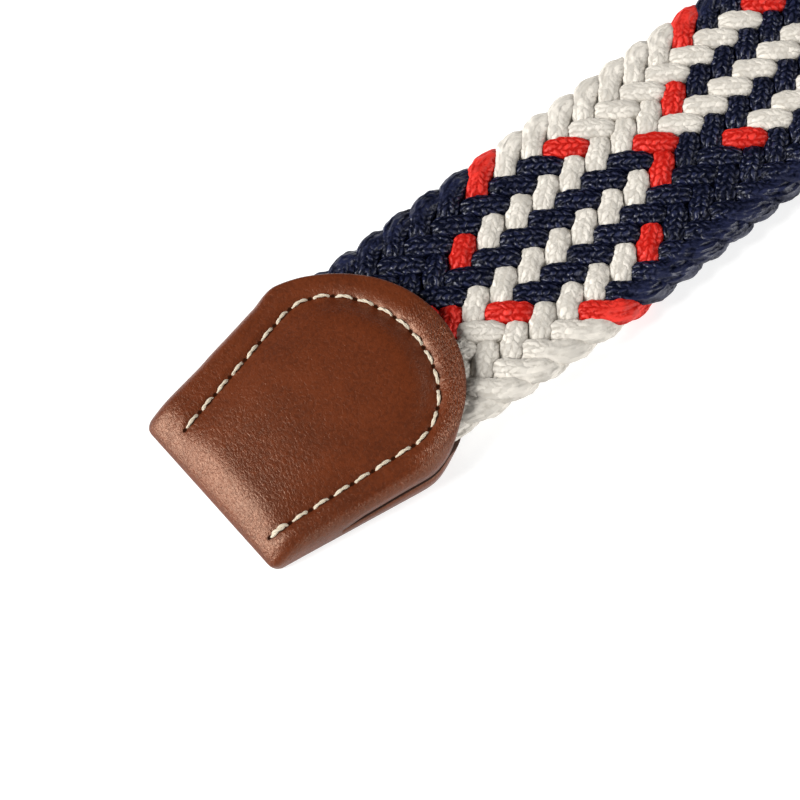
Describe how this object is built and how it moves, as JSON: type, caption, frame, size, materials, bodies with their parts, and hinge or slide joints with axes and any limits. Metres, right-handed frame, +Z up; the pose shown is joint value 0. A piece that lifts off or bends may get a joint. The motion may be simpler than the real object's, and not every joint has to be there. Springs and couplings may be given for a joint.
{
  "type": "elastic belt",
  "caption": "Flat plaited elastic belt laid out straight, with folded and sewn leather ends and a rectangular prong buckle.",
  "frame": {"origin": "on the surface that the belt lies on, under the middle of its length", "axes": "+X along the belt from its tip to its buckle, +Y across it, +Z up out of its face"},
  "size_m": [1.1001, 0.046, 0.0078],
  "materials": {
    "navy_cord": "round cord braided from navy polyester yarn, with a slight sheen",
    "white_cord": "round cord braided from off-white polyester yarn, with a slight sheen",
    "red_cord": "round cord braided from red polyester yarn, with a slight sheen",
    "leather": "brown, satin, with a fine grain",
    "thread": "twisted cream thread",
    "buckle_metal": "brushed"
  },
  "bodies": {
    "root": {"woven_band": "navy_cord", "tip_leather": "leather", "buckle_leather": "leather", "buckle": "buckle_metal"}
  },
  "joints": []
}
